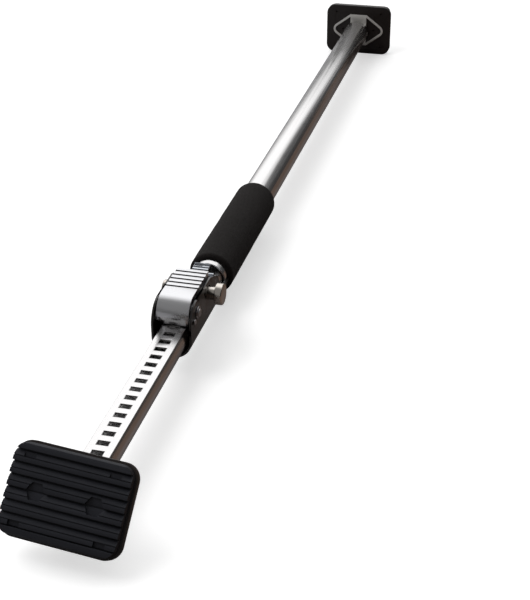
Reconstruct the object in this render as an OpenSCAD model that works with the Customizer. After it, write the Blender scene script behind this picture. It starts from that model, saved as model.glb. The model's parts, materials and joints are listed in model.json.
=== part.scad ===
// Ratcheting telescopic load bar with a foam grip and two tilting rubber feet.
// X runs along the bar, the near foot (on the inner tube) at -X and the far foot at +X.
// Millimetres, +Z up, origin at the middle of the bounding box's underside.
// Lengths marked "from the near pin" run along X from that pin to the place named.

/* [Bar] */
// Distance between the two foot pins, as set
pin_span = 1181; // [1160:1:1400]
// Tilt of the near foot from square, face up
near_tilt = 38; // [0:1:50]

/* [Main tube] */
// Outer radius of the main tube
tube_r = 17.5; // [17:0.1:19]
// Wall of the main tube
tube_wall = 1.5; // [1.2:0.1:1.6]
// Mouth of the main tube, from the near pin
mouth_x = 359; // [356:1:380]
// Length of the half round tongue in front of the mouth
tongue_l = 62; // [40:1:80]

/* [Inner tube] */
// Outer radius of the inner tube
inner_r = 14.75; // [14:0.05:14.9]
// Wall of the inner tube
inner_wall = 1.6; // [1.2:0.1:2]
// Height of the flat top above the tube's axis
flat_h = 9; // [8:0.1:10]
// Far end of the inner tube, from the near pin
inner_end = 962; // [700:1:970]
// Pitch of the slots
pitch = 13.5; // [13:0.1:14]
// Length of a slot along the bar
slot_l = 6.75; // [6.5:0.05:7.5]
// Width of a slot
slot_w = 11; // [10:0.1:13]
// Centre of the first slot, from the near pin
slot_first = 28.5; // [24:0.5:40]
// Number of slots
slot_count = 58; // [56:1:62]

/* [Grip] */
// Outer radius of the foam grip
foam_r = 23.3; // [21:0.1:28]
// Length of the foam grip
foam_l = 184; // [120:1:220]
// Rounding of the grip's ends
foam_round = 4; // [1:0.5:4]

/* [Ratchet frame] */
// Wall of the pressed frame
frame_t = 2; // [1.5:0.1:3]
// Reach of the frame in front of the pinion shaft
frame_reach = 22; // [20:0.5:24]
// Height of the cheeks' top edge above the pinion shaft
cheek_rise = 13.8; // [12:0.1:15]

/* [Pinion] */
// Face width of the pinion
pinion_w = 9; // [7:0.1:9.4]
// Reach of a tooth past the pitch circle
tooth_dip = 2.6; // [2:0.1:2.8]
// Radius of the pinion shaft
shaft_r = 4; // [3.5:0.1:4.5]
// Number of ratchet teeth
ratchet_teeth = 15; // [12:1:16]
// Radius of the ratchet wheels
ratchet_r = 9.8; // [9:0.1:10]

/* [Lever] */
// Gap between the lever's side and the frame's cheek
lever_gap = 1.75; // [1.5:0.05:2.2]
// Thickness of the lever's top
lever_t = 1.4; // [1.2:0.1:2]
// Length of the lever behind the pinion shaft
lever_l = 50; // [46:1:56]
// Number of finger grooves
groove_count = 5; // [3:1:5]
// Pitch of the finger grooves
groove_pitch = 7.5; // [6:0.1:7.5]

/* [Release] */
// Radius of the release shaft
release_r = 5; // [4:0.1:5]
// Release shaft behind the pinion shaft
release_back = 33; // [32:0.5:36]
// Radius of the knobs
knob_r = 10.5; // [8:0.1:12]
// Thickness of the knobs
knob_t = 7.5; // [4:0.1:9]
// Travel of the release shaft
release_travel = 5; // [3:0.5:5]

/* [Feet] */
// Width of a foot
pad_w = 100; // [90:1:120]
// Height of a foot
pad_h = 75; // [66:1:90]
// Corner radius of a foot
pad_r = 13; // [10:0.5:16]
// Thickness of the plastic base
base_t = 7; // [5:0.1:9]
// Thickness of the rubber tread
tread_t = 8.5; // [7:0.1:11]
// Pitch of the tread ribs
rib_pitch = 9.7; // [9:0.1:10]
// Distance from the foot pin to the back of the base
pin_reach = 19; // [18:0.1:24]
// Thickness of the foot bracket
bracket_t = 2; // [1.5:0.1:2.5]
// Radius of the foot pins
pin_r = 3; // [2.5:0.1:4]
// Near foot pin below the tube's axis
pin_drop = 6; // [3:0.1:7]
// Turn of the near foot's pad on its bracket
pad_turn = 5; // [0:0.5:8]

/* [Clearances] */
// Gap between sliding parts
slide_gap = 0.3; // [0.2:0.05:0.5]
// Radial gap of a turning fit
run_gap = 0.05; // [0.02:0.01:0.1]
// Radial gap of a fixed fit
fix_gap = 0.02; // [0.01:0.01:0.04]

/* [Hidden] */
$fn = 64;
eps = 0.01;

// Main tube and mouth
tube_bore = tube_r - tube_wall;
tongue_top = -1;
tongue_x = mouth_x - tongue_l;
foam_x = mouth_x + 8;
bush_x = mouth_x + 3;
bush_l = 30;
far_end = pin_span + 5;
near_end = -6;
ear_slot_l = 9;
rivet_x = [tongue_x + 13, mouth_x - 15];
rivet_r = 2.5;

// Ratchet frame, around the tube
frame_in = tube_r + run_gap;
frame_out = frame_in + frame_t;
cheek_slope = 14;
rear_drop = 10;
frame_end = mouth_x + 6;

// Pinion: its pitch circle rolls on the inner tube's flat and a tooth stands in a slot
pinion_teeth = 5;
mouth_gap = 101;
pinion_slot = round((mouth_x - mouth_gap - slot_first) / pitch);
pitch_r = pitch * pinion_teeth / (2 * PI);
pinion_x = slot_first + pinion_slot * pitch;
pinion_z = flat_h + pitch_r;
frame_x = pinion_x - frame_reach;
cheek_h = pinion_z + cheek_rise;
cheek_end = mouth_x - 33;
tooth_tip_r = pitch_r + tooth_dip;
tooth_root_r = 8.6;
wheel_in = pinion_w / 2 + 0.7;
wheel_t = 3.5;
sleeve_r = 6;
washer_t = 1.2;
clip_t = 1;
shaft_half = frame_out + 2.6;

// Cover over the pinion
lever_half = frame_in - lever_gap;
cover_in = tooth_tip_r + 0.7;
cover_out = cover_in + 1.3;
cover_half = lever_half - 1.5;
cover_from = 40;
cover_to = 128;
stud_back = 112;
stud_at_r = 11.7;

// Lever
flange_t = 1.2;
lever_in = lever_half - flange_t;
lever_under = cover_out + 0.4;
nose_to = 88;
nose_side_to = 55;
flange_drop = 6.2;
ear_r = 9;
groove_w = 2.2;
groove_d = 0.7;
groove_start = 14.5;

// Drive pawl: slides in the lever along a spoke of the ratchet wheels
pawl_angle = 64;
pawl_t = 2.4;
pawl_tip = ratchet_r + 0.4;
pawl_end = 19;
pawl_travel = 3;
pawl_ear_from = 12.6;
pawl_ear_l = 6;
tang_half = 0.8;
tang_l = 4.5;
stop_r = 1.7;
stop_at = 28.7;

// Release shaft and holding pawl
release_x = pinion_x + release_back;
release_z = pinion_z + 3.3;
block_front = 8;
block_back = 12.5;
block_half_w = 14;
block_low = release_z - release_r - 0.6;
block_high = release_z + release_r + 0.6;
prong_t = 3.5;
prong_z = pinion_z - prong_t / 2;

prong_in = pinion_w / 2 + 0.5;
prong_out = wheel_in + wheel_t + 0.8;
tail_half = 8;
tail_low = release_z - 2;
tail_t = 2;
tab_x = mouth_x - 31;
tab_l = 14;
tab_rise = 3.5;
rib_t = 0.8;
plate_x = release_x + 28;
plate_t = 2;
plate_low = flat_h + 1;
plate_high = release_z + 5;
plate_tab_low = release_z - 7;
plate_tab_h = 6;
spring_y = 10.4;
pocket_r = 2.4;
pocket_l = 6;
collar_from = frame_out + 0.4;
collar_r = 6.4;
knob_y = frame_out + 8.75;
left_head_r = 8;
left_head_t = 4.5;

// Feet
foot_front = pin_reach + base_t + tread_t;
tread_inset = 1.8;
tread_bevel = 1.5;
tread_half = pad_h / 2 - tread_inset;
groove_first = (2 * tread_half - 6 * rib_pitch) / 2;
groove_half = 0.6;
screw_z = 8.5;
screw_r = 1.8;
ear_t = bracket_t;
near_ear_in = inner_r + slide_gap;
far_ear_in = 10.5;
ear_tip_r = 7;
ear_root = 11;
hole_y = 35;
hole_z = 26.5;
pocket_y = 24;
corner_reach = (pad_h / 2 - pad_r) * cos(pad_turn) + (pad_w / 2 - pad_r) * sin(pad_turn);
tread_r = pad_r - tread_inset;
tread_flat_y = pad_w / 2 - tread_inset - tread_r;
crest_y = tread_flat_y + sqrt(tread_r * tread_r - (tread_r - tread_bevel) * (tread_r - tread_bevel));
crest_low = (tread_half - tread_bevel) * cos(pad_turn) + crest_y * sin(pad_turn);
edge_low = (tread_half - tread_r) * cos(pad_turn) + tread_flat_y * sin(pad_turn) + tread_r;
near_reach = max(foot_front * cos(near_tilt) + crest_low * sin(near_tilt),
    (foot_front - tread_bevel) * cos(near_tilt) + edge_low * sin(near_tilt),
    (pin_reach + base_t) * cos(near_tilt) + (corner_reach + pad_r) * sin(near_tilt));
x_mid = (pin_span + foot_front - near_reach) / 2;
axis_z = pad_h / 2;

// Moves a piece drawn from the near pin and the tube's axis to its place in the part.
module in_place() {
    translate([-x_mid, 0, axis_z])
        children();
}

// A bar along Y, centred, at x and z.
module cross_bar(r, half, x = 0, z = 0) {
    translate([x, 0, z])
        rotate([90, 0, 0])
            cylinder(r = r, h = 2 * half, center = true);
}

// The same bar on one side only, from y0 to y1, on both sides of the bar.
module both_sides(y0, y1) {
    for (side = [-1, 1])
        translate([0, side * (y0 + y1) / 2, 0])
            rotate([90, 0, 0])
                linear_extrude(height = y1 - y0, center = true)
                    children();
}

// A round bar along X from x0 to x1.
module bar_x(r, x0, x1) {
    translate([x0, 0, 0])
        rotate([0, 90, 0])
            cylinder(r = r, h = x1 - x0);
}

// Outline of the inner tube: a circle with a flat top.
module d_section(r, top) {
    intersection() {
        circle(r = r);
        translate([-2 * r, -2 * r])
            square([4 * r, 2 * r + top]);
    }
}

// Turns a section drawn in Y and Z into a bar along X.
module along_x(x0, x1) {
    translate([x0, 0, 0])
        rotate([90, 0, 90])
            linear_extrude(height = x1 - x0)
                children();
}

// ---- Tubes and grip ----

module main_tube() {
    color("silver")
    in_place()
    difference() {
        union() {
            bar_x(tube_r, mouth_x, far_end);
            intersection() {
                bar_x(tube_r, tongue_x, mouth_x + 1);
                translate([tongue_x - 1, -tube_r - 1, -tube_r - 1])
                    cube([tongue_l + 3, 2 * tube_r + 2, tube_r + 1 + tongue_top]);
            }
        }
        bar_x(tube_bore, tongue_x - 1, far_end + 1);
        for (side = [-1, 1], z = [-1, 1])
            translate([far_end - ear_slot_l / 2 + 0.5, side * (far_ear_in + ear_t / 2), z * 14])
                cube([ear_slot_l + 1, ear_t + 2 * slide_gap, 12], center = true);
        cross_bar(pin_r + fix_gap, tube_r + 1, pin_span);
        frame_rivet_shanks(rivet_r + fix_gap);
    }
}

module foam_grip() {
    color("#302c2b")
    in_place()
    translate([foam_x, 0, 0])
        rotate([0, 90, 0])
            rotate_extrude()
                difference() {
                    translate([tube_r + fix_gap, 0])
                        square([foam_r - tube_r - fix_gap, foam_l]);
                    for (end = [0, 1])
                        translate([foam_r - foam_round, end ? foam_l - foam_round : foam_round])
                            difference() {
                                translate([0, end ? 0 : -foam_round - 1])
                                    square(foam_round + 1);
                                circle(r = foam_round);
                            }
                }
}

module mouth_bush() {
    color("#26272b")
    in_place()
    difference() {
        bar_x(tube_bore - fix_gap, bush_x, bush_x + bush_l);
        along_x(bush_x - 1, bush_x + bush_l + 1)
            d_section(inner_r + slide_gap, flat_h + slide_gap);
    }
}

module inner_tube() {
    color("gainsboro")
    in_place()
    difference() {
        along_x(near_end, inner_end)
            d_section(inner_r, flat_h);
        along_x(near_end - 1, inner_end + 1)
            d_section(inner_r - inner_wall, flat_h - inner_wall);
        cross_bar(pin_r + fix_gap, inner_r + 1, 0, -pin_drop);
        for (i = [0 : slot_count - 1])
            translate([slot_first + i * pitch, 0, flat_h])
                cube([slot_l, slot_w, 4 * inner_wall], center = true);
    }
}

module guide_plug() {
    color("#26272b")
    in_place()
    difference() {
        union() {
            along_x(inner_end - 20, inner_end)
                d_section(inner_r - inner_wall - fix_gap, flat_h - inner_wall - fix_gap);
            bar_x(tube_bore - slide_gap, inner_end, inner_end + 6);
        }
        bar_x(5, inner_end - 21, inner_end + 7);
    }
}

// ---- Ratchet frame and what is fixed to it ----

// Side view of the frame: round nose, straight top, sloping back, low tail under the tube.
module frame_outline() {
    translate([pinion_x, cheek_h - frame_reach])
        circle(r = frame_reach);
    polygon([[frame_x, -frame_out - 1], [frame_x, cheek_h - frame_reach], [pinion_x, cheek_h - frame_reach],
        [pinion_x, cheek_h], [pinion_x + lever_l - 6, cheek_h], [cheek_end, cheek_h - rear_drop],
        [cheek_end + cheek_slope, 0], [frame_end, 0],
        [frame_end, -frame_out - 1]]);
}

// Cross-section of a channel with a round bottom and straight sides.
module channel_section(r) {
    circle(r = r);
    translate([-r, 0])
        square([2 * r, 2 * cheek_h]);
}

// Rivets up through the frame's bottom and the main tube's tongue.
module frame_rivet_shanks(r) {
    for (x = rivet_x)
        translate([x, 0, -frame_out - 1])
            cylinder(r = r, h = frame_out + 1 - inner_r - 0.85);
}

// Where the cover's studs pass, seen from the side.
stud_x = pinion_x - stud_at_r * sin(stud_back);
stud_z = pinion_z + stud_at_r * cos(stud_back);

module ratchet_frame() {
    color("#1a1a1d")
    in_place()
    difference() {
        intersection() {
            along_x(frame_x, frame_end)
                channel_section(frame_out);
            rotate([90, 0, 0])
                linear_extrude(height = 3 * frame_out, center = true)
                    frame_outline();
        }
        along_x(frame_x - 1, frame_end + 1)
            channel_section(frame_in);
        cross_bar(shaft_r + run_gap, frame_out + 1, pinion_x, pinion_z);
        cross_bar(1.5 + fix_gap, frame_out + 1, stud_x, stud_z);
        both_sides(frame_in - 1, frame_out + 1)
            release_slot();
        translate([plate_x - fix_gap, -frame_out - 1, plate_tab_low - fix_gap])
            cube([plate_t + 2 * fix_gap, 2 * frame_out + 2, plate_tab_h + 2 * fix_gap]);
        frame_rivet_shanks(rivet_r + fix_gap);
    }
}

// Long hole in a cheek for the release shaft.
module release_slot() {
    r = release_r + slide_gap;
    for (x = [release_x, release_x + release_travel])
        translate([x, release_z])
            circle(r = r);
    translate([release_x, release_z - r])
        square([release_travel, 2 * r]);
}

module frame_rivets() {
    color("dimgray")
    in_place()
    for (x = rivet_x)
        translate([x, 0, 0]) {
            translate([0, 0, -frame_out - 1.6])
                cylinder(r = rivet_r, h = frame_out - tube_bore + 1.9);
            translate([0, 0, -frame_out - 1.6])
                cylinder(r = rivet_r + 1.7, h = 1.6 - fix_gap);
        }
}

// Sector of a ring round the pinion shaft in side view, angles from straight up towards the near foot.
module ring_sector(r0, r1, a0, a1) {
    steps = ceil((a1 - a0) / 4);
    function spoke(r, a) = [-r * sin(a), r * cos(a)];
    intersection() {
        difference() {
            circle(r = r1, $fn = 120);
            circle(r = r0, $fn = 120);
        }
        polygon(concat([[0, 0]], [for (i = [0 : steps]) spoke(2 * r1, a0 + i * (a1 - a0) / steps)]));
    }
}

module pinion_cover() {
    color("lightgray")
    in_place()
    difference() {
        union() {
            translate([pinion_x, 0, pinion_z])
                both_sides(0, cover_half)
                    ring_sector(cover_in, cover_out, cover_from, cover_to);
            translate([pinion_x, 0, pinion_z])
                both_sides(cover_half - 1.4, cover_half)
                    ring_sector(stud_at_r - 3.6, cover_in + 0.5, stud_back - 16, cover_to);
        }
        cross_bar(1.5 + fix_gap, cover_half + 1, stud_x, stud_z);
    }
}

module cover_studs() {
    color("dimgray")
    in_place()
    for (side = [-1, 1])
        translate([stud_x, 0, stud_z])
            rotate([-90 * side, 0, 0]) {
                translate([0, 0, cover_half - 1.4 - 0.8])
                    cylinder(r = 1.5, h = frame_out + 0.8 + 1.4 - cover_half + 0.8);
                translate([0, 0, cover_half + fix_gap])
                    cylinder(r = 2.6, h = frame_in - cover_half - 2 * fix_gap);
                translate([0, 0, frame_out + fix_gap])
                    cylinder(r = 2.8, h = 1.2);
                translate([0, 0, cover_half - 1.4 - 0.8])
                    cylinder(r = 2, h = 0.8 - fix_gap);
            }
}

module spring_plate() {
    color("lightsteelblue")
    in_place()
    difference() {
        union() {
            translate([plate_x, -frame_in + fix_gap, plate_low])
                cube([plate_t, 2 * (frame_in - fix_gap), plate_high - plate_low]);
            translate([plate_x, -frame_out, plate_tab_low])
                cube([plate_t, 2 * frame_out, plate_tab_h]);
        }
        translate([plate_x - 1, -tail_half - 0.5, tail_low - 0.5])
            cube([plate_t + 2, 2 * tail_half + 1, tail_t + 1]);
    }
}

// Points of a round wire wound along +Z.
module coil(r, wire, turns, length) {
    ring = 6;
    steps = 14 * turns;
    function around(i, k) = let (a = 360 * i * turns / steps, b = 360 * k / ring)
        [(r + wire * cos(b)) * cos(a), (r + wire * cos(b)) * sin(a), length * i / steps + wire * sin(b)];
    points = [for (i = [0 : steps]) for (k = [0 : ring - 1]) around(i, k)];
    sides = [for (i = [0 : steps - 1]) for (k = [0 : ring - 1])
        [i * ring + k, i * ring + (k + 1) % ring, (i + 1) * ring + (k + 1) % ring, (i + 1) * ring + k]];
    ends = [[for (k = [ring - 1 : -1 : 0]) k], [for (k = [0 : ring - 1]) steps * ring + k]];
    polyhedron(points = points, faces = concat(sides, ends), convexity = 10);
}

module release_springs() {
    color("silver")
    in_place()
    for (side = [-1, 1])
        translate([release_x + block_back - 0.3, side * spring_y, release_z])
            rotate([0, 90, 0])
                coil(1.7, 0.35, 9, plate_x - release_x - block_back - 0.1);
}

// ---- Pinion and ratchet wheels ----

// One tooth, its middle along -Z.
module pinion_tooth() {
    polygon([[-3.1, -tooth_root_r + 1], [-2.6, -pitch_r], [-1.4, -tooth_tip_r], [1.4, -tooth_tip_r],
        [2.6, -pitch_r], [3.1, -tooth_root_r + 1]]);
}

module drive_pinion() {
    color("darkgray")
    in_place()
    translate([pinion_x, 0, pinion_z])
        rotate([90, 0, 0])
            linear_extrude(height = pinion_w, center = true)
                difference() {
                    union() {
                        circle(r = tooth_root_r);
                        for (i = [0 : pinion_teeth - 1])
                            rotate(i * 360 / pinion_teeth)
                                pinion_tooth();
                    }
                    circle(r = shaft_r + fix_gap);
                }
}

// Saw-toothed wheel.
module ratchet_outline() {
    step = 360 / ratchet_teeth;
    root = ratchet_r - 2.2;
    polygon([for (i = [0 : ratchet_teeth - 1]) for (p = [0, 1])
        let (a = i * step + p * 3, r = p ? root : ratchet_r) [r * cos(a), r * sin(a)]]);
}

module ratchet_wheels() {
    color("dimgray")
    in_place()
    translate([pinion_x, 0, pinion_z])
        both_sides(wheel_in, wheel_in + wheel_t)
            difference() {
                ratchet_outline();
                circle(r = shaft_r + fix_gap);
            }
}

module pinion_shaft() {
    color("gray")
    in_place()
    difference() {
        cross_bar(shaft_r, shaft_half, pinion_x, pinion_z);
        for (side = [-1, 1])
            translate([pinion_x, side * (frame_out + 0.3 + clip_t / 2), pinion_z])
                rotate([90, 0, 0])
                    difference() {
                        cylinder(r = shaft_r + 1, h = clip_t + 0.1, center = true);
                        cylinder(r = shaft_r - 0.8, h = clip_t + 1, center = true);
                    }
    }
}

module spacer_sleeves() {
    color("darkgray")
    in_place()
    translate([pinion_x, 0, pinion_z])
        both_sides(wheel_in + wheel_t + 0.1, lever_in - 0.2)
            difference() {
                circle(r = sleeve_r);
                circle(r = shaft_r + fix_gap);
            }
}

module thrust_washers() {
    color("darkgray")
    in_place()
    translate([pinion_x, 0, pinion_z])
        both_sides(lever_half + 0.25, lever_half + 0.25 + washer_t)
            difference() {
                circle(r = sleeve_r + 1.5);
                circle(r = shaft_r + fix_gap);
            }
}

module shaft_clips() {
    color("gray")
    in_place()
    translate([pinion_x, 0, pinion_z])
        both_sides(frame_out + 0.35, frame_out + 0.25 + clip_t)
            difference() {
                circle(r = shaft_r + 2.4);
                circle(r = shaft_r - 0.8 + fix_gap);
                translate([-1.6, -2 * shaft_r])
                    square([3.2, 2 * shaft_r]);
            }
}

// ---- Lever and drive pawl ----

// Side view of a lever flange, measured from the pinion shaft.
module flange_outline() {
    bottom = lever_under - flange_drop;
    top = lever_under + lever_t / 2;
    circle(r = ear_r);
    polygon([[0, top], [0, -ear_r * 0.2], [ear_r * 0.75, -ear_r * 0.55], [26, bottom], [lever_l, bottom],
        [lever_l, top]]);
    ring_sector(ear_r / 2, top, 0, nose_side_to);
    ring_sector(lever_under - 1.1, top, 0, nose_to);
}

// Slot along a spoke at the pawl's angle, from r0 to r1.
module spoke_slot(r0, r1, w) {
    rotate(90 - pawl_angle)
        translate([r0, -w / 2])
            square([r1 - r0, w]);
}

module lever() {
    color("gainsboro")
    in_place()
    translate([pinion_x, 0, pinion_z])
    difference() {
        union() {
            translate([0, -lever_half, lever_under])
                cube([lever_l, 2 * lever_half, lever_t]);
            both_sides(0, lever_half)
                ring_sector(lever_under, lever_under + lever_t, 0, nose_to);
            both_sides(lever_in, lever_half)
                flange_outline();
        }
        for (i = [0 : groove_count - 1])
            translate([groove_start + i * groove_pitch, 0, lever_under + lever_t])
                cube([groove_w, 4 * lever_half, 2 * groove_d], center = true);
        cross_bar(shaft_r + run_gap, lever_half + 1);
        both_sides(lever_in - 1, lever_half + 1)
            spoke_slot(pawl_ear_from - 0.4, pawl_ear_from + pawl_ear_l + pawl_travel + 0.4, pawl_t + 0.5);
        cross_bar(stop_r + fix_gap, lever_half + 1, stop_at * sin(pawl_angle), stop_at * cos(pawl_angle));
    }
}

module drive_pawl() {
    color("darkgray")
    in_place()
    translate([pinion_x, 0, pinion_z])
        rotate([0, pawl_angle - 90, 0])
            difference() {
                union() {
                    translate([pawl_tip, -lever_in + 0.6, -pawl_t / 2])
                        cube([pawl_end - pawl_tip, 2 * lever_in - 1.2, pawl_t]);
                    translate([pawl_ear_from, -lever_half + 0.2, -pawl_t / 2])
                        cube([pawl_ear_l, 2 * lever_half - 0.4, pawl_t]);
                    translate([pawl_end - 1, -tang_half, -tang_half])
                        cube([tang_l + 1, 2 * tang_half, 2 * tang_half]);
                }
                translate([pawl_tip - 1, -prong_in, -pawl_t])
                    cube([tooth_tip_r + 1.4 - pawl_tip, 2 * prong_in, 2 * pawl_t]);
            }
}

module pawl_stop_pin() {
    color("gray")
    in_place()
    translate([pinion_x, 0, pinion_z])
        cross_bar(stop_r, lever_half, stop_at * sin(pawl_angle), stop_at * cos(pawl_angle));
}

module drive_spring() {
    color("silver")
    in_place()
    translate([pinion_x, 0, pinion_z])
        rotate([0, pawl_angle, 0])
            translate([0, 0, pawl_end + pawl_travel + 0.6])
                coil(1.8, 0.3, 4, stop_at - stop_r - pawl_end - pawl_travel - 1.2);
}

// ---- Release ----

module holding_pawl() {
    color("lightsteelblue")
    in_place()
    difference() {
        union() {
            translate([release_x - block_front, -block_half_w, block_low])
                cube([block_front + block_back, 2 * block_half_w, block_high - block_low]);
            for (side = [-1, 1])
                translate([pinion_x + ratchet_r + 0.4, side * (prong_in + prong_out) / 2, prong_z + prong_t / 2])
                    translate([0, -(prong_out - prong_in) / 2, -prong_t / 2])
                        cube([release_back - block_front - ratchet_r, prong_out - prong_in, prong_t]);
            rotate([90, 0, 0])
                linear_extrude(height = 2 * tail_half, center = true)
                    polygon([[release_x, tail_low], [tab_x, tail_low], [tab_x + tab_l, tail_low + tab_rise],
                        [tab_x + tab_l, tail_low + tab_rise + tail_t], [tab_x, tail_low + tail_t],
                        [release_x, tail_low + tail_t]]);
            for (i = [0 : 3])
                translate([tab_x, 0, tail_low + tail_t])
                    rotate([0, -atan2(tab_rise, tab_l), 0])
                        translate([1 + i * 3.6, -tail_half, -0.5])
                            cube([1.4, 2 * tail_half, 0.5 + rib_t]);
        }
        cross_bar(release_r + fix_gap, block_half_w + 1, release_x, release_z);
        for (side = [-1, 1])
            translate([0, side * spring_y, release_z])
                bar_x(pocket_r, release_x + block_back - pocket_l, release_x + block_back + 1);
    }
}

// The shaft reaches further on the right, where the knob stands off on a collar.
module release_shaft() {
    color("gainsboro")
    in_place()
    translate([release_x, collar_from - fix_gap, release_z])
        rotate([90, 0, 0])
            cylinder(r = release_r, h = knob_y + collar_from - 2 * fix_gap);
}

// Round head with a chamfered rim.
module knob_head(r, t) {
    rotate_extrude()
        polygon([[0, 0], [r - 0.6, 0], [r, 0.6], [r, t - 0.8], [r - 0.8, t], [0, t]]);
}

module release_knob_left() {
    color("gainsboro")
    in_place()
    translate([release_x, collar_from, release_z])
        rotate([-90, 0, 0])
            knob_head(left_head_r, left_head_t);
}

module release_knob_right() {
    color("gainsboro")
    in_place()
    translate([release_x, 0, release_z])
        rotate([90, 0, 0])
            difference() {
                union() {
                    translate([0, 0, knob_y])
                        knob_head(knob_r, knob_t);
                    translate([0, 0, collar_from])
                        cylinder(r = collar_r, h = knob_y - collar_from + 1);
                }
                translate([0, 0, collar_from - 1])
                    cylinder(r = release_r + fix_gap, h = knob_y - collar_from + 1);
            }
}

// ---- Feet ----

// Places a foot that is drawn with its pin at the origin and its face towards +X.
module at_near_foot() {
    in_place()
    translate([0, 0, -pin_drop])
        rotate([0, near_tilt, 0])
            mirror([1, 0, 0])
                children();
}

module at_far_foot() {
    in_place()
    translate([pin_span, 0, 0])
        children();
}

// Bracket outline: a hexagon with round side tips, shrunk by "inset".
tip_y = 30;
tip_r = 9;
corner_y = 13;
corner_z = 24;
edge_turn = atan2(corner_z, tip_y - corner_y) - asin(tip_r / norm([tip_y - corner_y, corner_z]));
function edge_z(y, inset) = corner_z - inset / cos(edge_turn) - (y - corner_y) * tan(edge_turn);
function tip_arc(inset) = [for (a = [90 - edge_turn : -(180 - 2 * edge_turn) / 16 : -90 + edge_turn - 0.01])
    [tip_y + (tip_r - inset) * cos(a), (tip_r - inset) * sin(a)]];

// Local X to the outside, section drawn in Y and Z.
module foot_bracket(ear_in, turn) {
    ear_out = ear_in + ear_t;
    half = concat([[0, corner_z], [corner_y, corner_z]], tip_arc(0), [[corner_y, -corner_z], [0, -corner_z]]);
    window = concat([[ear_out, edge_z(ear_out, 3.2)]], tip_arc(3.2), [[ear_out, -edge_z(ear_out, 3.2)]]);
    difference() {
        union() {
            for (side = [0, 1])
                mirror([0, side, 0])
                    along_x(pin_reach - bracket_t, pin_reach)
                        difference() {
                            polygon(half);
                            polygon(window);
                        }
            both_sides(ear_in, ear_out) {
                circle(r = ear_tip_r);
                polygon([[0, ear_tip_r], [pin_reach - eps, ear_root], [pin_reach - eps, -ear_root], [0, -ear_tip_r]]);
            }
        }
        cross_bar(pin_r + run_gap, ear_out + 1);
        rotate([turn, 0, 0])
            for (z = [-1, 1])
                translate([0, 0, z * screw_z])
                    bar_x(screw_r + fix_gap, pin_reach - bracket_t - 1, pin_reach + 1);
    }
}

// Two pan head screws that hold a bracket on its pad.
module pad_screws() {
    for (z = [-1, 1])
        translate([0, 0, z * screw_z]) {
            bar_x(screw_r, pin_reach - bracket_t - 1.2, pin_reach + base_t - 1.2);
            bar_x(screw_r + 1.7, pin_reach - bracket_t - 1.2, pin_reach - bracket_t - fix_gap);
        }
}

module rounded_plate(w, h, r, x0, x1) {
    along_x(x0, x1) {
        square([w - 2 * r, h], center = true);
        square([w, h - 2 * r], center = true);
        for (y = [-1, 1], z = [-1, 1])
            translate([y * (w / 2 - r), z * (h / 2 - r)])
                circle(r = r);
    }
}

module pad_base() {
    difference() {
        rounded_plate(pad_w, pad_h, pad_r, pin_reach, pin_reach + base_t);
        for (y = [-1, 1])
            translate([0, y * pocket_y, 0])
                bar_x(1.6, pin_reach - 1, pin_reach + 4);
        for (y = [-1, 1], z = [-1, 1])
            translate([0, y * hole_y, z * hole_z])
                bar_x(1.3, pin_reach - 1, pin_reach + 4);
        for (z = [-1, 1])
            translate([0, 0, z * screw_z])
                bar_x(screw_r + fix_gap, pin_reach - 1, pin_reach + base_t - 1);
    }
}

// Side view of the tread: depth along X, ribs down Z. Each rib slopes up to a flat crest, with a
// fine notch between the slope and the crest.
function rib(top) = [[foot_front - 4, top - groove_half], [foot_front - 2.6, top - groove_half],
    [foot_front - 0.3, top - 4.8], [foot_front - 1.2, top - 4.9], [foot_front - 1.2, top - 5.5],
    [foot_front, top - 5.6], [foot_front, top - rib_pitch + groove_half],
    [foot_front - 4, top - rib_pitch + groove_half]];
rib_count = floor((2 * tread_half - groove_first - 4) / rib_pitch);
last_groove = tread_half - groove_first - rib_count * rib_pitch;
function tread_side() = concat(
    [[pin_reach + base_t, tread_half], [foot_front - tread_bevel, tread_half],
        [foot_front, tread_half - tread_bevel], [foot_front, tread_half - groove_first + groove_half],
        [foot_front - 4, tread_half - groove_first + groove_half]],
    [for (i = [0 : rib_count - 1]) each rib(tread_half - groove_first - i * rib_pitch)],
    [[foot_front - 4, last_groove - groove_half], [foot_front, last_groove - groove_half],
        [foot_front, tread_bevel - tread_half], [foot_front - tread_bevel, -tread_half],
        [pin_reach + base_t, -tread_half]]);

module tread() {
    difference() {
        intersection() {
            rotate([90, 0, 0])
                linear_extrude(height = pad_w, center = true)
                    polygon(tread_side());
            rounded_plate(pad_w - 2 * tread_inset, 2 * tread_half, pad_r - tread_inset, pin_reach, foot_front + 1);
        }
        for (y = [-1, 1])
            translate([0, y * pocket_y, 0])
                rotate([0, 90, 0])
                    translate([0, 0, foot_front - 3])
                        rotate(30)
                            cylinder(r = 8, h = 4, $fn = 6);
        for (y = [-1, 1], z = [-1, 1])
            translate([foot_front - 2.2, y * hole_y - 4.75, z * hole_z - 2.2])
                cube([4, 9.5, 4.4]);
    }
}

module near_bracket() {
    color("lightsteelblue")
    at_near_foot()
        foot_bracket(near_ear_in, pad_turn);
}

module near_pad_base() {
    color("#2b2829")
    at_near_foot()
        rotate([pad_turn, 0, 0])
            pad_base();
}

module near_tread() {
    color("#34353c")
    at_near_foot()
        rotate([pad_turn, 0, 0])
            tread();
}

module near_pad_screws() {
    color("silver")
    at_near_foot()
        rotate([pad_turn, 0, 0])
            pad_screws();
}

module far_bracket() {
    color("lightsteelblue")
    at_far_foot()
        foot_bracket(far_ear_in, 0);
}

module far_pad_base() {
    color("#2b2829")
    at_far_foot()
        pad_base();
}

module far_tread() {
    color("#34353c")
    at_far_foot()
        tread();
}

module far_pad_screws() {
    color("silver")
    at_far_foot()
        pad_screws();
}

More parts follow.
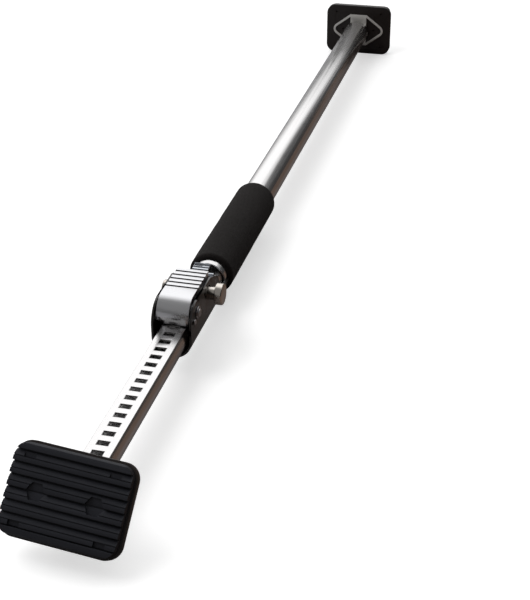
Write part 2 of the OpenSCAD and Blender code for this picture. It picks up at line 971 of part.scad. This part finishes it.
// Riveted pin: shank and two heads.
module near_pin() {
    color("gray")
    in_place()
    translate([0, 0, -pin_drop]) {
        cross_bar(pin_r, near_ear_in + ear_t + 0.4);
        both_sides(near_ear_in + ear_t + 0.4, near_ear_in + ear_t + 2)
            circle(r = pin_r + 1.2);
    }
}

// Pin riveted flush with the tube.
module far_pin() {
    color("gray")
    in_place()
    cross_bar(pin_r, tube_r, pin_span, 0);
}

main_tube();
foam_grip();
mouth_bush();
ratchet_frame();
frame_rivets();
pinion_cover();
cover_studs();
spring_plate();
release_springs();
far_pin();
inner_tube();
guide_plug();
near_pin();
near_bracket();
near_pad_base();
near_tread();
near_pad_screws();
far_bracket();
far_pad_base();
far_tread();
far_pad_screws();
drive_pinion();
ratchet_wheels();
pinion_shaft();
spacer_sleeves();
shaft_clips();
thrust_washers();
lever();
pawl_stop_pin();
drive_spring();
drive_pawl();
holding_pawl();
release_shaft();
release_knob_left();
release_knob_right();
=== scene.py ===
import json
import math

import bmesh
import bpy
from mathutils import Matrix, Vector, noise


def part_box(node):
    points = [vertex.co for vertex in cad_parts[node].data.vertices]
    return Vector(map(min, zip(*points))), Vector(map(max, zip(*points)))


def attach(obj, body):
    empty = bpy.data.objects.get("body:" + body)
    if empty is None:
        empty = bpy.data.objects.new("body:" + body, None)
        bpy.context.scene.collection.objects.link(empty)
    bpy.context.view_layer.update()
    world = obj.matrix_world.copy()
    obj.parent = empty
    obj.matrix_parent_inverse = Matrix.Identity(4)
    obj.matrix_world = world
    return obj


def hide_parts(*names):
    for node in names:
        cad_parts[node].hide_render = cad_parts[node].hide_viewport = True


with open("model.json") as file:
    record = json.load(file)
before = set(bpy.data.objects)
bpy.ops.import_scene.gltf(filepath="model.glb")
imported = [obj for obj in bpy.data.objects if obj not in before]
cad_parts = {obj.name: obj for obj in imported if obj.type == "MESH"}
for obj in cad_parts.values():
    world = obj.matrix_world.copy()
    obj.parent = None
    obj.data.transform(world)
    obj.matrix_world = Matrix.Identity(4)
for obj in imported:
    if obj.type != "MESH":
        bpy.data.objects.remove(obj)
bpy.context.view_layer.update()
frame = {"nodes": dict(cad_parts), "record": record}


# ---- Camera ----
# It stands in front of the near foot, on the lever's right hand side, and looks down along the
# bar with a long lens. The foam grip's middle gives the height of the tube's axis.

def centre(node):
    """The middle of a CAD node's box."""
    low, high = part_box(node)
    return (Vector(low) + Vector(high)) / 2


axis_height = centre("foam_grip").z
near_pin = centre("near_pin")
camera_back = 0.7253
camera_aside = -0.333
camera_above = 0.616
camera_heading = math.radians(14.18)
camera_pitch = math.radians(-29.52)
camera_roll = math.radians(-0.31)
camera = bpy.data.objects.new("camera", bpy.data.cameras.new("camera"))
bpy.context.scene.collection.objects.link(camera)
camera.data.sensor_width = 36
camera.data.lens = 76.33
camera.data.clip_start = 0.05
camera.data.clip_end = 50
stand = Matrix.Translation((near_pin.x - camera_back, camera_aside, axis_height + camera_above))
heading = Matrix.Rotation(camera_heading - math.pi / 2, 4, "Z")
tip = Matrix.Rotation(math.pi / 2 + camera_pitch, 4, "X")
roll = Matrix.Rotation(camera_roll, 4, "Z")
camera.matrix_world = stand @ heading @ tip @ roll
bpy.context.scene.camera = camera
bpy.context.scene.view_settings.view_transform = "Standard"


# ---- Floor and light ----
# A pale studio floor in a white light tent. Seen in polished metal the tent is bright overhead
# and to the left, and falls off to a dark side on the right and in front.

def new_material(name):
    """An empty node material, its node tree and its shader."""
    material = bpy.data.materials.new(name)
    material.use_nodes = True
    tree = material.node_tree
    return material, tree, tree.nodes["Principled BSDF"]


def add_node(tree, kind, **settings):
    """A node of that kind. Settings are its properties, or its inputs of that name."""
    node = tree.nodes.new(kind)
    for key, value in settings.items():
        if key in node.inputs:
            node.inputs[key].default_value = value
        else:
            setattr(node, key, value)
    return node


def ramp(tree, start, end, low=0.0, high=1.0, course="LINEAR"):
    """A node that gives low at start and high at end, and holds both beyond them."""
    node = add_node(tree, "ShaderNodeMapRange", interpolation_type=course)
    node.inputs["From Min"].default_value = start
    node.inputs["From Max"].default_value = end
    node.inputs["To Min"].default_value = low
    node.inputs["To Max"].default_value = high
    return node


def floor_paint():
    """White to the camera, with a warm right side and a grey left side in reflections."""
    material, tree, shader = new_material("floor_paint")
    shader.inputs["Roughness"].default_value = 0.9
    shader.inputs["Specular IOR Level"].default_value = 0.1
    shader.inputs["Emission Color"].default_value = (1, 1, 1, 1)
    ray = add_node(tree, "ShaderNodeLightPath")
    place = add_node(tree, "ShaderNodeTexCoord")
    split = add_node(tree, "ShaderNodeSeparateXYZ")
    across = ramp(tree, -0.10, 0.06)
    mirrored = add_node(tree, "ShaderNodeMix", data_type="RGBA")
    mirrored.inputs["A"].default_value = (0.16, 0.11, 0.085, 1)
    mirrored.inputs["B"].default_value = (0.34, 0.34, 0.35, 1)
    tone = add_node(tree, "ShaderNodeMix", data_type="RGBA")
    tone.inputs["B"].default_value = (0.92, 0.92, 0.92, 1)
    glow = add_node(tree, "ShaderNodeMath", operation="MULTIPLY")
    glow.inputs[1].default_value = 0.52
    tree.links.new(place.outputs["Object"], split.inputs[0])
    tree.links.new(split.outputs["Y"], across.inputs["Value"])
    tree.links.new(across.outputs["Result"], mirrored.inputs["Factor"])
    tree.links.new(ray.outputs["Is Camera Ray"], tone.inputs["Factor"])
    tree.links.new(mirrored.outputs["Result"], tone.inputs["A"])
    tree.links.new(tone.outputs["Result"], shader.inputs["Base Color"])
    tree.links.new(ray.outputs["Is Camera Ray"], glow.inputs[0])
    tree.links.new(glow.outputs["Value"], shader.inputs["Emission Strength"])
    return material


floor_half = 12
floor_mesh = bpy.data.meshes.new("floor")
floor_bm = bmesh.new()
bmesh.ops.create_grid(floor_bm, x_segments=2, y_segments=2, size=floor_half)
floor_bm.to_mesh(floor_mesh)
floor_bm.free()
floor = bpy.data.objects.new("floor", floor_mesh)
bpy.context.scene.collection.objects.link(floor)
floor_mesh.materials.append(floor_paint())

tent = bpy.data.worlds.new("tent")
bpy.context.scene.world = tent
tent.use_nodes = True
tent_tree = tent.node_tree
tent_light = tent_tree.nodes["Background"]
tent_light.inputs["Color"].default_value = (1, 1, 1, 1)
direction = add_node(tent_tree, "ShaderNodeTexCoord")
parts = add_node(tent_tree, "ShaderNodeSeparateXYZ")
rise = ramp(tent_tree, 0.0, 0.45, low=0.45, high=1.25, course="SMOOTHSTEP")
right = ramp(tent_tree, -0.02, -0.34, low=1.0, high=0.07, course="SMOOTHSTEP")
front = ramp(tent_tree, 0.55, -0.10, low=1.0, high=0.17, course="SMOOTHSTEP")
high_up = ramp(tent_tree, 0.50, 0.80, course="SMOOTHSTEP")
right_below = add_node(tent_tree, "ShaderNodeMix")
right_below.inputs["B"].default_value = 1.0
sides = add_node(tent_tree, "ShaderNodeMath", operation="MULTIPLY")
strength = add_node(tent_tree, "ShaderNodeMath", operation="MULTIPLY")
tent_ray = add_node(tent_tree, "ShaderNodeLightPath")
seen = add_node(tent_tree, "ShaderNodeMix")
seen.inputs["B"].default_value = 1.0
tent_tree.links.new(direction.outputs["Generated"], parts.inputs[0])
tent_tree.links.new(parts.outputs["Z"], rise.inputs["Value"])
tent_tree.links.new(parts.outputs["Y"], right.inputs["Value"])
tent_tree.links.new(parts.outputs["X"], front.inputs["Value"])
tent_tree.links.new(parts.outputs["Z"], high_up.inputs["Value"])
tent_tree.links.new(high_up.outputs["Result"], right_below.inputs["Factor"])
tent_tree.links.new(right.outputs["Result"], right_below.inputs["A"])
tent_tree.links.new(right_below.outputs["Result"], sides.inputs[0])
tent_tree.links.new(front.outputs["Result"], sides.inputs[1])
tent_tree.links.new(rise.outputs["Result"], strength.inputs[0])
tent_tree.links.new(sides.outputs["Value"], strength.inputs[1])
tent_tree.links.new(tent_ray.outputs["Is Camera Ray"], seen.inputs["Factor"])
tent_tree.links.new(strength.outputs["Value"], seen.inputs["A"])
tent_tree.links.new(seen.outputs["Result"], tent_light.inputs["Strength"])


def soft_box(name, place, target, size, power):
    """A square area light that faces the target and doesn't show in reflections."""
    light = bpy.data.lights.new(name, "AREA")
    light.size = size
    light.energy = power
    lamp = bpy.data.objects.new(name, light)
    bpy.context.scene.collection.objects.link(lamp)
    lamp.location = place
    lamp.rotation_euler = (Vector(target) - Vector(place)).to_track_quat("-Z", "Y").to_euler()
    lamp.visible_glossy = False


soft_box("key", place=(-0.6, 1.3, 2.2), target=(0, 0, 0), size=1.6, power=24)


# ---- Main tube ----
# Cold drawn steel tube, zinc plated and polished, 35 mm across. Its mouth is cut back to a half
# round tongue under the ratchet, and its far end is slotted for the foot's two ears.

def scratched_metal(name, colour, roughness, grain, streak=1.0, bump=0.02, wear=0.12, metallic=1.0):
    """Plated metal: fine lines along the bar, and wear that clouds its polish and its colour."""
    line_stretch = 30 * streak
    material, tree, shader = new_material(name)
    shader.inputs["Metallic"].default_value = metallic
    place = add_node(tree, "ShaderNodeTexCoord")
    drawn = add_node(tree, "ShaderNodeMapping")
    drawn.inputs["Scale"].default_value = (grain / line_stretch, grain, grain)
    lines = add_node(tree, "ShaderNodeTexNoise", Scale=1.0, Detail=4.0)
    cloud = add_node(tree, "ShaderNodeTexNoise", Scale=38.0, Detail=5.0)
    shade = add_node(tree, "ShaderNodeMix", data_type="RGBA", blend_type="MULTIPLY")
    shade.inputs["Factor"].default_value = wear
    shade.inputs["A"].default_value = (*colour, 1)
    polish = ramp(tree, 0.3, 0.7, low=roughness * (1 - wear), high=roughness * (1 + 2 * wear))
    relief = add_node(tree, "ShaderNodeBump", Strength=bump, Distance=0.0004)
    tree.links.new(place.outputs["Object"], drawn.inputs["Vector"])
    tree.links.new(drawn.outputs["Vector"], lines.inputs["Vector"])
    tree.links.new(place.outputs["Object"], cloud.inputs["Vector"])
    tree.links.new(cloud.outputs["Fac"], shade.inputs["B"])
    tree.links.new(cloud.outputs["Fac"], polish.inputs["Value"])
    tree.links.new(lines.outputs["Fac"], relief.inputs["Height"])
    tree.links.new(shade.outputs["Result"], shader.inputs["Base Color"])
    tree.links.new(polish.outputs["Result"], shader.inputs["Roughness"])
    tree.links.new(relief.outputs["Normal"], shader.inputs["Normal"])
    return material


record = frame["record"]
body_of = {node: body for body, nodes in record["behaviour"]["bodies"].items() for node in nodes}


def placed(bm, name, material, node, smooth_angle):
    """The finished piece: smooth but for sharp edges, on the CAD node's body and in its place."""
    mesh = bpy.data.meshes.new(name)
    bm.to_mesh(mesh)
    bm.free()
    mesh.polygons.foreach_set("use_smooth", [True] * len(mesh.polygons))
    mesh.set_sharp_from_angle(angle=math.radians(smooth_angle))
    mesh.materials.append(material)
    piece = bpy.data.objects.new(name, mesh)
    bpy.context.scene.collection.objects.link(piece)
    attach(piece, body_of[node])
    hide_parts(node)
    return piece


def dressed(node, material, edge, steps=2, sharp_angle=32):
    """A merged copy of a CAD node with its sharp edges rounded by "edge" metres."""
    weld_distance = 2e-6
    flat_angle = math.radians(0.6)
    bm = bmesh.new()
    bm.from_mesh(frame["nodes"][node].data)
    bmesh.ops.remove_doubles(bm, verts=bm.verts, dist=weld_distance)
    bmesh.ops.dissolve_limit(bm, angle_limit=flat_angle, verts=bm.verts, edges=bm.edges)
    piece = placed(bm, node + "_part", material, node, smooth_angle=180)
    rounding = piece.modifiers.new("rounding", "BEVEL")
    rounding.width = edge
    rounding.segments = steps
    rounding.limit_method = "ANGLE"
    rounding.angle_limit = math.radians(sharp_angle)
    rounding.harden_normals = True


zinc_tube = scratched_metal("zinc_tube", (0.84, 0.83, 0.83), 0.23, 900, bump=0.008, wear=0.05)
dressed("main_tube", zinc_tube, 0.0003)


# ---- Foam grip ----
# A sleeve of black closed-cell foam, pushed over the tube. Its ends are cut round, and its skin
# is slightly uneven with fine open pores.

def foam_skin():
    """Dull black foam: fine pores and grain in relief, and a patchy tone."""
    material, tree, shader = new_material("foam_skin")
    shader.inputs["Roughness"].default_value = 0.92
    shader.inputs["Sheen Weight"].default_value = 0.06
    shader.inputs["Sheen Roughness"].default_value = 0.6
    shader.inputs["Specular IOR Level"].default_value = 0.15
    place = add_node(tree, "ShaderNodeTexCoord")
    pores = add_node(tree, "ShaderNodeTexVoronoi", Scale=1100.0)
    grain = add_node(tree, "ShaderNodeTexNoise", Scale=520.0, Detail=6.0, Roughness=0.7)
    patches = add_node(tree, "ShaderNodeTexNoise", Scale=24.0, Detail=3.0)
    both = add_node(tree, "ShaderNodeMath", operation="ADD")
    half = add_node(tree, "ShaderNodeMath", operation="MULTIPLY")
    half.inputs[1].default_value = 0.5
    tone = add_node(tree, "ShaderNodeValToRGB")
    tone.color_ramp.elements[0].color = (0.0078, 0.0062, 0.0058, 1)
    tone.color_ramp.elements[1].color = (0.0170, 0.0140, 0.0132, 1)
    tone.color_ramp.elements[0].position = 0.3
    tone.color_ramp.elements[1].position = 0.75
    heights = add_node(tree, "ShaderNodeMath", operation="ADD")
    relief = add_node(tree, "ShaderNodeBump", Strength=0.55, Distance=0.0006)
    for texture in (pores, grain, patches):
        tree.links.new(place.outputs["Object"], texture.inputs["Vector"])
    tree.links.new(grain.outputs["Fac"], both.inputs[0])
    tree.links.new(patches.outputs["Fac"], both.inputs[1])
    tree.links.new(both.outputs["Value"], half.inputs[0])
    tree.links.new(half.outputs["Value"], tone.inputs["Fac"])
    tree.links.new(tone.outputs["Color"], shader.inputs["Base Color"])
    tree.links.new(grain.outputs["Fac"], heights.inputs[0])
    tree.links.new(pores.outputs["Distance"], heights.inputs[1])
    tree.links.new(heights.outputs["Value"], relief.inputs["Height"])
    tree.links.new(relief.outputs["Normal"], shader.inputs["Normal"])
    return material


def turned(outline, middle, axis, steps):
    """A closed outline of (along, radius) pairs spun about an axis through the middle."""
    bm = bmesh.new()
    axis = Vector(axis).normalized()
    side = axis.orthogonal().normalized()
    middle = Vector(middle)
    ring = [bm.verts.new(middle + axis * along + side * radius) for along, radius in outline]
    edges = [bm.edges.new((a, b)) for a, b in zip(ring, ring[1:] + ring[:1])]
    bmesh.ops.spin(
        bm, geom=ring + edges, cent=middle, axis=axis, angle=math.tau, steps=steps, use_merge=True
    )
    bmesh.ops.remove_doubles(bm, verts=bm.verts, dist=1e-6)
    bmesh.ops.recalc_face_normals(bm, faces=bm.faces)
    return bm


def arc(middle, radius, start, end, steps):
    """Points on an arc, angles in degrees."""
    turns = [math.radians(start + (end - start) * i / steps) for i in range(steps + 1)]
    return [(middle[0] + radius * math.cos(t), middle[1] + radius * math.sin(t)) for t in turns]


grip_low, grip_high = (Vector(corner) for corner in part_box("foam_grip"))
grip_radius = (grip_high.z - grip_low.z) / 2
grip_half = (grip_high.x - grip_low.x) / 2
bore_radius = 0.01752
bore_edge = 0.0004
end_round = 0.0042
round_x = grip_half - end_round
round_r = grip_radius - end_round
round_steps = 8
lengths = 100
grip_outline = arc((-grip_half + end_round, round_r), end_round, 180, 90, round_steps)
grip_outline += [(2 * round_x * (i / lengths - 0.5), grip_radius) for i in range(1, lengths)]
grip_outline += arc((round_x, round_r), end_round, 90, 0, round_steps)
grip_outline += [(grip_half, bore_radius + bore_edge), (grip_half - bore_edge, bore_radius)]
grip_outline += [(0.0, bore_radius), (-grip_half + bore_edge, bore_radius)]
grip_outline += [(-grip_half, bore_radius + bore_edge)]
grip_bm = turned(grip_outline, (grip_low + grip_high) / 2, (1, 0, 0), steps=112)

skin_from = bore_radius + 0.001
skin_sinks = 0.0002
for vert in grip_bm.verts:
    outwards = Vector((0, vert.co.y, vert.co.z - axis_height))
    if outwards.length > skin_from:
        slow_swell = noise.noise(vert.co * 45) * 0.00022
        fine_swell = noise.noise(vert.co * 260) * 0.00010
        vert.co += outwards.normalized() * (slow_swell + fine_swell - skin_sinks)
grip = placed(grip_bm, "foam_grip_sleeve", foam_skin(), "foam_grip", smooth_angle=60)


# ---- Mouth bush and guide plug ----
# Two black moulded plastic bearings that carry the inner tube: one in the main tube's mouth, one
# on the inner tube's far end.

def moulded(name, colour, roughness, grain=1400.0, bump=0.12):
    """Moulded plastic or rubber with a fine spark-eroded grain and a faint cloudy tone."""
    darker = [channel * 0.8 for channel in colour]
    lighter = [channel * 1.25 for channel in colour]
    uneven = 0.07
    material, tree, shader = new_material(name)
    shader.inputs["Specular IOR Level"].default_value = 0.4
    place = add_node(tree, "ShaderNodeTexCoord")
    fine = add_node(tree, "ShaderNodeTexNoise", Scale=grain, Detail=3.0)
    cloud = add_node(tree, "ShaderNodeTexNoise", Scale=55.0, Detail=4.0)
    tone = add_node(tree, "ShaderNodeMix", data_type="RGBA")
    tone.inputs["A"].default_value = (*darker, 1)
    tone.inputs["B"].default_value = (*lighter, 1)
    gloss = ramp(tree, 0.0, 1.0, low=roughness - uneven, high=roughness + uneven)
    relief = add_node(tree, "ShaderNodeBump", Strength=bump, Distance=0.0003)
    for texture in (fine, cloud):
        tree.links.new(place.outputs["Object"], texture.inputs["Vector"])
    tree.links.new(cloud.outputs["Fac"], tone.inputs["Factor"])
    tree.links.new(tone.outputs["Result"], shader.inputs["Base Color"])
    tree.links.new(fine.outputs["Fac"], gloss.inputs["Value"])
    tree.links.new(gloss.outputs["Result"], shader.inputs["Roughness"])
    tree.links.new(fine.outputs["Fac"], relief.inputs["Height"])
    tree.links.new(relief.outputs["Normal"], shader.inputs["Normal"])
    return material


black_plastic = moulded("black_plastic", (0.0210, 0.0165, 0.0150), 0.42)
dressed("mouth_bush", black_plastic, 0.0003)
dressed("guide_plug", black_plastic, 0.0004)


# ---- Ratchet frame ----
# One blank of 2 mm steel, pressed into a channel round the tube with two upright cheeks, and
# coated semi-gloss black. Two rivets hold it to the main tube's tongue.

def black_coat():
    """Black paint with a slight orange peel, rubbed brighter and duller in patches."""
    material, tree, shader = new_material("black_coat")
    shader.inputs["Coat Weight"].default_value = 0.6
    shader.inputs["Coat Roughness"].default_value = 0.12
    place = add_node(tree, "ShaderNodeTexCoord")
    peel = add_node(tree, "ShaderNodeTexNoise", Scale=420.0, Detail=2.0)
    worn = add_node(tree, "ShaderNodeTexNoise", Scale=70.0, Detail=6.0)
    tone = add_node(tree, "ShaderNodeMix", data_type="RGBA")
    tone.inputs["A"].default_value = (0.0050, 0.0040, 0.0036, 1)
    tone.inputs["B"].default_value = (0.0150, 0.0110, 0.0095, 1)
    gloss = ramp(tree, 0.0, 1.0, low=0.18, high=0.42)
    relief = add_node(tree, "ShaderNodeBump", Strength=0.06, Distance=0.0004)
    for texture in (peel, worn):
        tree.links.new(place.outputs["Object"], texture.inputs["Vector"])
    tree.links.new(worn.outputs["Fac"], tone.inputs["Factor"])
    tree.links.new(worn.outputs["Fac"], gloss.inputs["Value"])
    tree.links.new(tone.outputs["Result"], shader.inputs["Base Color"])
    tree.links.new(gloss.outputs["Result"], shader.inputs["Roughness"])
    tree.links.new(peel.outputs["Fac"], relief.inputs["Height"])
    tree.links.new(relief.outputs["Normal"], shader.inputs["Normal"])
    return material


rivet_steel = scratched_metal(
    "rivet_steel", (0.66, 0.66, 0.68), 0.30, 1500, streak=0.05, bump=0.05
)
dressed("ratchet_frame", black_coat(), 0.0005, steps=3)
dressed("frame_rivets", rivet_steel, 0.0006, steps=3)


# ---- Pinion, ratchet wheels and shaft ----
# Hardened steel, oiled and darker than the plated parts. The pinion's teeth stand in the inner
# tube's slots; sleeves, washers and clips on the shaft keep it in the middle.

dark_steel = scratched_metal("dark_steel", (0.36, 0.35, 0.34), 0.34, 1400, streak=0.05, bump=0.05)
spring_steel = scratched_metal("spring_steel", (0.60, 0.60, 0.62), 0.22, 1600, streak=0.05)
for node in ("drive_pinion", "ratchet_wheels"):
    dressed(node, dark_steel, 0.0003)
for node in ("pinion_shaft", "spacer_sleeves", "thrust_washers"):
    dressed(node, rivet_steel, 0.0003)
dressed("shaft_clips", spring_steel, 0.0002)


# ---- Cover over the pinion ----
# Thin steel sheet rolled into an arc under the lever's nose, bright chrome plated, and held
# between the cheeks by a stud at each side.

chrome = scratched_metal("chrome", (0.88, 0.88, 0.89), 0.16, 1100, streak=0.05, bump=0.03)
dressed("pinion_cover", chrome, 0.0004, steps=3)
dressed("cover_studs", rivet_steel, 0.0004, steps=3)


# ---- Lever ----
# Pressed steel sheet with two side flanges, bright chrome plated, its front rolled round the
# pinion. Five finger grooves are stamped across it, and the drive pawl slides in its flanges.

def painted_groove_shade(material, grooves, pitch, last_x, half_width, bottom_z):
    """Painted shade: darkens the plating in a row of grooves across the bar, the last one at
    last_x.
    """
    soft_out = 0.0003
    soft_in = 0.0002
    tree = material.node_tree
    base_colour = tree.nodes["Principled BSDF"].inputs["Base Color"]
    plated = base_colour.links[0].from_socket
    place = add_node(tree, "ShaderNodeTexCoord")
    split = add_node(tree, "ShaderNodeSeparateXYZ")
    from_last = add_node(tree, "ShaderNodeMath", operation="SUBTRACT")
    from_last.inputs[1].default_value = last_x
    nearest = add_node(tree, "ShaderNodeMath", operation="PINGPONG")
    nearest.inputs[1].default_value = pitch / 2
    inside = ramp(tree, half_width + soft_out, half_width - soft_in, course="SMOOTHSTEP")
    behind_nose = add_node(tree, "ShaderNodeMath", operation="GREATER_THAN")
    behind_nose.inputs[1].default_value = last_x - (grooves - 0.5) * pitch
    on_top = add_node(tree, "ShaderNodeMath", operation="GREATER_THAN")
    on_top.inputs[1].default_value = bottom_z
    along_top = add_node(tree, "ShaderNodeMath", operation="MULTIPLY")
    in_groove = add_node(tree, "ShaderNodeMath", operation="MULTIPLY")
    # Painted shade: the colour that the groove floors get in place of the plating.
    groove_shade = add_node(tree, "ShaderNodeMix", data_type="RGBA")
    groove_shade.inputs["B"].default_value = (0.055, 0.050, 0.050, 1)
    tree.links.new(place.outputs["Object"], split.inputs[0])
    tree.links.new(split.outputs["X"], from_last.inputs[0])
    tree.links.new(from_last.outputs["Value"], nearest.inputs[0])
    tree.links.new(nearest.outputs["Value"], inside.inputs["Value"])
    tree.links.new(split.outputs["X"], behind_nose.inputs[0])
    tree.links.new(split.outputs["Z"], on_top.inputs[0])
    tree.links.new(behind_nose.outputs["Value"], along_top.inputs[0])
    tree.links.new(on_top.outputs["Value"], along_top.inputs[1])
    tree.links.new(along_top.outputs["Value"], in_groove.inputs[0])
    tree.links.new(inside.outputs["Result"], in_groove.inputs[1])
    tree.links.new(in_groove.outputs["Value"], groove_shade.inputs["Factor"])
    tree.links.new(plated, groove_shade.inputs["A"])
    tree.links.new(groove_shade.outputs["Result"], base_colour)


def sprung(node):
    """A spring keeps its CAD mesh and takes the spring steel."""
    finishes = frame["nodes"][node].data.materials
    finishes.clear()
    finishes.append(spring_steel)


lever_end = Vector(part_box("lever")[1])
lever_chrome = scratched_metal("lever_chrome", (0.84, 0.84, 0.86), 0.27, 1300, bump=0.06)
# The finger grooves get painted shade, a darker colour on the lever's top where each groove sinks
# in.
painted_groove_shade(
    lever_chrome,
    grooves=5,
    pitch=0.0075,
    last_x=lever_end.x - 0.0055,
    half_width=0.0013,
    bottom_z=lever_end.z - 0.0008,
)
dressed("lever", lever_chrome, 0.0004, steps=3)
dressed("pawl_stop_pin", rivet_steel, 0.0003)
dressed("drive_pawl", dark_steel, 0.0003)
sprung("drive_spring")


# ---- Release ----
# A zinc plated block with two prongs and a thumb tab slides between the cheeks. The shaft
# through it ends in a nickel plated knob at each side.

zinc_plate = scratched_metal("zinc_plate", (0.72, 0.75, 0.80), 0.26, 1200, streak=0.05, bump=0.04)
nickel = scratched_metal("nickel", (0.80, 0.74, 0.68), 0.20, 1300, streak=0.05, bump=0.03)
dressed("holding_pawl", zinc_plate, 0.0004, steps=3)
dressed("spring_plate", zinc_plate, 0.0004)
sprung("release_springs")
dressed("release_shaft", nickel, 0.0003)
for node in ("release_knob_left", "release_knob_right"):
    dressed(node, nickel, 0.0004, steps=3)


# ---- Inner tube ----
# Drawn steel tube with a flat on top, zinc plated. A row of slots is punched through the flat
# for the pinion's teeth. A steel pin at each end of the bar carries a foot.

dressed("inner_tube", zinc_tube, 0.0003)
for node in ("near_pin", "far_pin"):
    dressed(node, rivet_steel, 0.0005, steps=3)


# ---- Feet ----
# A black plastic base with a ribbed rubber tread on it. A zinc plated bracket is screwed on its
# back: a hexagon with two windows, whose ears are bent out to the pin.

tread_rubber = moulded("tread_rubber", (0.0215, 0.0225, 0.0290), 0.56, grain=1800.0, bump=0.18)
bracket_zinc = scratched_metal(
    "bracket_zinc", (0.90, 0.88, 0.84), 0.42, 1200, streak=0.05, bump=0.04, metallic=0.35
)
for foot in ("near", "far"):
    dressed(foot + "_pad_base", black_plastic, 0.0008, steps=3)
    dressed(foot + "_tread", tread_rubber, 0.0002, sharp_angle=20)
    dressed(foot + "_bracket", bracket_zinc, 0.0003)
    dressed(foot + "_pad_screws", rivet_steel, 0.0004, steps=3)
